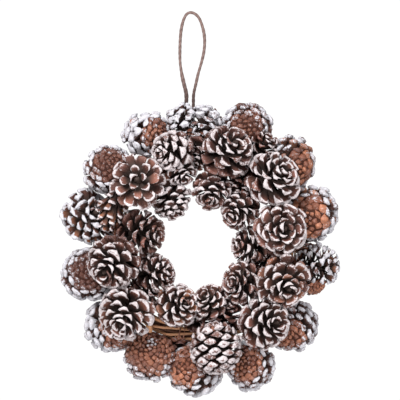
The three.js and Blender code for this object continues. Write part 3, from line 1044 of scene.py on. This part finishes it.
def smooth_route(points, per_span):
    """Even steps on a centripetal curve through the points, and its length."""
    pts = np.array(points, dtype=float)
    ends = np.vstack([2 * pts[0] - pts[1], pts, 2 * pts[-1] - pts[-2]])
    out = []
    for i in range(len(pts) - 1):
        p0, p1, p2, p3 = ends[i : i + 4]
        steps = [np.linalg.norm(b - a) ** 0.5 for a, b in ((p0, p1), (p1, p2), (p2, p3))]
        t0, t1, t2, t3 = np.cumsum([0] + steps)
        for u in np.linspace(t1, t2, per_span, endpoint=False):
            a1 = between(u, t0, t1, p0, p1)
            a2 = between(u, t1, t2, p1, p2)
            a3 = between(u, t2, t3, p2, p3)
            b1 = between(u, t0, t2, a1, a2)
            b2 = between(u, t1, t3, a2, a3)
            out.append(between(u, t1, t2, b1, b2))
    out.append(pts[-1])
    out = np.array(out)
    run = np.concatenate([[0], np.cumsum(np.linalg.norm(np.diff(out, axis=0), axis=1))])
    even = np.linspace(0, run[-1], len(out))
    return np.stack([np.interp(even, run, out[:, k]) for k in range(3)], axis=1), run[-1]


def sides_along(path):
    """Two steady side directions at each step of a path."""
    tangent = unit(np.gradient(path, axis=0))
    side = np.cross(tangent[0], [0.0, 1.0, 0.0])
    sides = []
    for t in tangent:
        side = unit(side - (side @ t) * t)
        sides.append(side)
    sides = np.array(sides)
    return sides, np.cross(tangent, sides)


def hanging_loop():
    """The twisted twine, from its one end behind the ring over the crown to the other."""
    path, length = smooth_route(LOOP_ROUTE, ROUTE_STEPS)
    path, length = path * MM, length * MM
    first, second = sides_along(path)
    run = np.linspace(0, length, len(path))
    turn = turns(TWINE_AROUND)
    twist = 2 * np.pi * run / PITCH
    lobe = np.abs(np.cos(STRANDS / 2 * (turn[None, :] - twist[:, None])))
    uneven = 1 + sum(share * np.sin(run / wave + start) for share, wave, start in TWINE_WAVES)
    below = -path[:, 2]
    thicker = smooth(below, *LEFT_FROM) * (1 - smooth(below, *LEFT_TO))
    uneven = uneven + np.where(path[:, 0] < 0, LEFT_THICKER * thicker, 0)
    section = SECTION_CORE + SECTION_BULGE * lobe**BULGE_POWER
    radius = TWINE_THICKNESS / 2 * section * uneven[:, None]
    points = tube(path, first, second, radius, turn)
    vertices = np.vstack([points.reshape(-1, 3), path[:1], path[-1:]])
    # Painted shade in the grooves between the strands.
    groove_shade = np.concatenate([(1 - lobe).ravel() ** 2, [0, 0]])
    # Painted shade below the crown, towards the ring.
    low = smooth(-vertices[:, 2], *PAINTED_SHADE_FROM)
    piece = make_piece(
        "hanging_loop_twine",
        vertices,
        rings_of(len(path), TWINE_AROUND),
        {"groove_shade": groove_shade, "low": low},
        twine_material(),
        "hanging_loop",
        "twine",
    )
    tuple(path[0])


# Stems of the ring: how far out each lies and how thick it is (shares of the ring's half
# thickness), and where round the ring's centre line it starts. Those of the core are in painted
# shade.

RING_STEMS = [(0.76, 0.19, 0.4), (0.80, 0.17, 1.2), (0.70, 0.21, 2.0), (0.78, 0.18, 2.8)]
RING_STEMS += [(0.74, 0.20, 3.6), (0.78, 0.16, 4.3), (0.76, 0.19, 5.0), (0.80, 0.17, 5.7)]
RING_CORE = [(0.30, 0.30, 1.0), (0.36, 0.26, 3.0), (0.34, 0.28, 5.1)]
RING_TWISTS = 3
RING_STEPS = 300
RING_AROUND = 9

# How a stem sways on its way round the centre line (radians) and how uneven its distance from
# that line, its thickness and its section are (share), each with its count of waves.

SWAY = 0.40
SWAY_WAVES = (4, 9)
STEM_UNEVEN = 0.10
OFF_WAVES = 13
THICKNESS_WAVES = 23
SECTION_WAVES = 3

# How dark the bark is: on the core stems, where it is painted shade, at most on the others, where
# it is their own tone, and on the broken one.

RING_CORE_SHADE = 1.4
MOST_STRIPE = 0.8
STUB_STRIPE = 0.1


def ring_stem(out, thick, start, draw):
    """One stem wound round the ring's centre line: its points, steps x around x 3."""
    room = RING_THICKNESS / 2
    way = turns(RING_STEPS)
    phase = draw.uniform(0, 2 * np.pi, 4)
    sway = sum(np.sin(waves * way + begin) for waves, begin in zip(SWAY_WAVES, phase)) / 2
    across = start + RING_TWISTS * way + SWAY * sway
    off = room * out * (1 + STEM_UNEVEN * np.sin(OFF_WAVES * way + phase[2]))
    path = np.stack(
        [
            (RING_RADIUS + off * np.cos(across)) * np.sin(way),
            off * np.sin(across),
            (RING_RADIUS + off * np.cos(across)) * np.cos(way),
        ],
        axis=1,
    )
    outward = np.stack([np.sin(way), np.zeros_like(way), np.cos(way)], axis=1)
    tangent = unit(np.roll(path, -1, axis=0) - np.roll(path, 1, axis=0))
    first = unit(outward - (outward * tangent).sum(axis=1)[:, None] * tangent)
    second = np.cross(tangent, first)
    turn = turns(RING_AROUND)
    radius = room * thick * (1 + STEM_UNEVEN * np.sin(THICKNESS_WAVES * way + phase[3]))
    section = 1 + STEM_UNEVEN * np.cos(SECTION_WAVES * turn + phase[0])
    radius = np.minimum(radius, room - off)[:, None] * section
    return tube(path, first, second, radius, turn) + WREATH_CENTRE


# A broken stem end that stands up in front of the ring, seen between the cones at the lower left:
# its ends from the wreath's centre and its thickness there (mm), how far it keeps its thickness
# and how round its ends are, and how ridged and how rough it is (shares).

STUB = ((-57.5, -11.5, -99.0, 7.5), (-59.5, -13.0, -82.0, 9.5))
STUB_STEPS = 9
STUB_EVEN = 0.97
STUB_ROUND = 6
STUB_RIDGES = 0.12
STUB_ROUGH = 0.04


def ring_stub(draw):
    """The broken stem end: its points, steps x around x 3."""
    (x0, y0, z0, thick0), (x1, y1, z1, thick1) = STUB
    share = np.linspace(0, 1, STUB_STEPS)[:, None]
    path = np.array([x0, y0, z0]) * (1 - share) + np.array([x1, y1, z1]) * share
    round_end = np.sqrt(1 - np.clip(np.abs(2 * share - 1), 0, STUB_EVEN) ** STUB_ROUND)
    radius = (thick0 * (1 - share) + thick1 * share) / 2 * round_end
    ridges = STUB_RIDGES * draw.normal(0, 1, (1, RING_AROUND))
    rough = STUB_ROUGH * draw.normal(0, 1, (STUB_STEPS, RING_AROUND))
    radius = radius * (1 + ridges + rough)
    return tube(path, X_WAY, Y_WAY, radius, turns(RING_AROUND)) * MM + WREATH_CENTRE


def vine_ring():
    """Thin stems twisted round the ring's centre line, and the stub in front of them."""
    draw = np.random.default_rng(RING_SEED)
    parts, faces, bark_dark_and_shade = [], [], []
    total = 0
    for out, thick, start in RING_STEMS + RING_CORE:
        points = ring_stem(out, thick, start, draw)
        number = RING_STEPS * RING_AROUND
        index = np.arange(number).reshape(RING_STEPS, RING_AROUND) + total
        a, b = index, np.roll(index, -1, axis=1)
        c, d = np.roll(a, -1, axis=0), np.roll(b, -1, axis=0)
        quads = np.stack([a, b, d, c], axis=-1).reshape(-1, 4)
        faces.append(np.vstack([quads[:, [0, 1, 2]], quads[:, [0, 2, 3]]]))
        parts.append(points.reshape(-1, 3))
        # Core stems get painted shade, the others a darker tone of their own at random.
        dark = RING_CORE_SHADE if (out, thick, start) in RING_CORE else draw.uniform(0, MOST_STRIPE)
        bark_dark_and_shade.append(np.full(number, dark))
        total += number
    stub = ring_stub(draw)
    ends = stub[[0, -1]].mean(axis=1)
    parts.append(np.vstack([stub.reshape(-1, 3), ends]))
    faces.append(rings_of(STUB_STEPS, RING_AROUND) + total)
    bark_dark_and_shade.append(np.full(len(parts[-1]), STUB_STRIPE))
    make_piece(
        "vine_ring_stems",
        np.vstack(parts),
        np.vstack(faces),
        {"bark_dark_and_shade": np.concatenate(bark_dark_and_shade)},
        vine_material(),
        "vine_ring",
        "vine",
    )


# Studio: the world's light on the wreath, the white behind it, a floor out of sight (half its side
# and its height), and lamps (name, place, size, power) that shine on one point.

WHITE = (1.0, 1.0, 1.0, 1.0)
WORLD_LIGHT = 0.32
WORLD_SEEN = 1.05
FLOOR_HALF = 3.0
FLOOR_HEIGHT = -1.2
FLOOR_COLOUR = (0.85, 0.85, 0.85, 1.0)
LIT_POINT = Vector((11 * MM, 0, -240 * MM))
LAMPS = (
    ("key", (-0.6, -1.3, 0.75), 0.7, 34),
    ("fill", (1.1, -1.2, 0.0), 1.2, 12),
    ("low", (-0.2, -1.0, -1.3), 1.0, 16),
)


def make_world():
    world = bpy.data.worlds.new("studio")
    bpy.context.scene.world = world
    world.use_nodes = True
    tree = world.node_tree
    light = tree.nodes["Background"]
    seen = tree.nodes.new("ShaderNodeBackground")
    for node, strength in ((light, WORLD_LIGHT), (seen, WORLD_SEEN)):
        node.inputs["Color"].default_value = WHITE
        node.inputs["Strength"].default_value = strength
    path = tree.nodes.new("ShaderNodeLightPath")
    choose = tree.nodes.new("ShaderNodeMixShader")
    tree.links.new(path.outputs["Is Camera Ray"], choose.inputs[0])
    tree.links.new(light.outputs[0], choose.inputs[1])
    tree.links.new(seen.outputs[0], choose.inputs[2])
    tree.links.new(choose.outputs[0], tree.nodes["World Output"].inputs["Surface"])


def make_floor():
    mesh = bpy.data.meshes.new("floor")
    corners = [(-1, -1), (1, -1), (1, 1), (-1, 1)]
    vertices = [(FLOOR_HALF * x, FLOOR_HALF * y, FLOOR_HEIGHT) for x, y in corners]
    mesh.from_pydata(vertices, [], [(0, 1, 2, 3)])
    floor = bpy.data.objects.new("floor", mesh)
    pale = bpy.data.materials.new("pale_floor")
    pale.use_nodes = True
    surface = pale.node_tree.nodes["Principled BSDF"]
    surface.inputs["Base Color"].default_value = FLOOR_COLOUR
    mesh.materials.append(pale)
    bpy.context.scene.collection.objects.link(floor)


def make_studio():
    make_world()
    make_floor()
    for name, spot, size, power in LAMPS:
        data = bpy.data.lights.new(name, "AREA")
        data.size = size
        data.energy = power
        lamp = bpy.data.objects.new(name, data)
        lamp.location = spot
        lamp.rotation_euler = (LIT_POINT - Vector(spot)).to_track_quat("-Z", "Y").to_euler()
        bpy.context.scene.collection.objects.link(lamp)
    bpy.context.scene.view_settings.view_transform = "Standard"


# The scene

hanging_loop()
make_studio()

rows = [(slot, row) for slot in CONES for row in CONES[slot]]
cones = [place_of(slot, row, index) for index, (slot, row) in enumerate(rows)]
planes = meeting_planes(cones)
scales = cone_material()
box_sides = sides_of_box(*(np.array(corner) for corner in cad_bounds))
for cone in cones:
    cone_piece(cone, planes[cone["name"]] + box_sides, scales)
vine_ring()
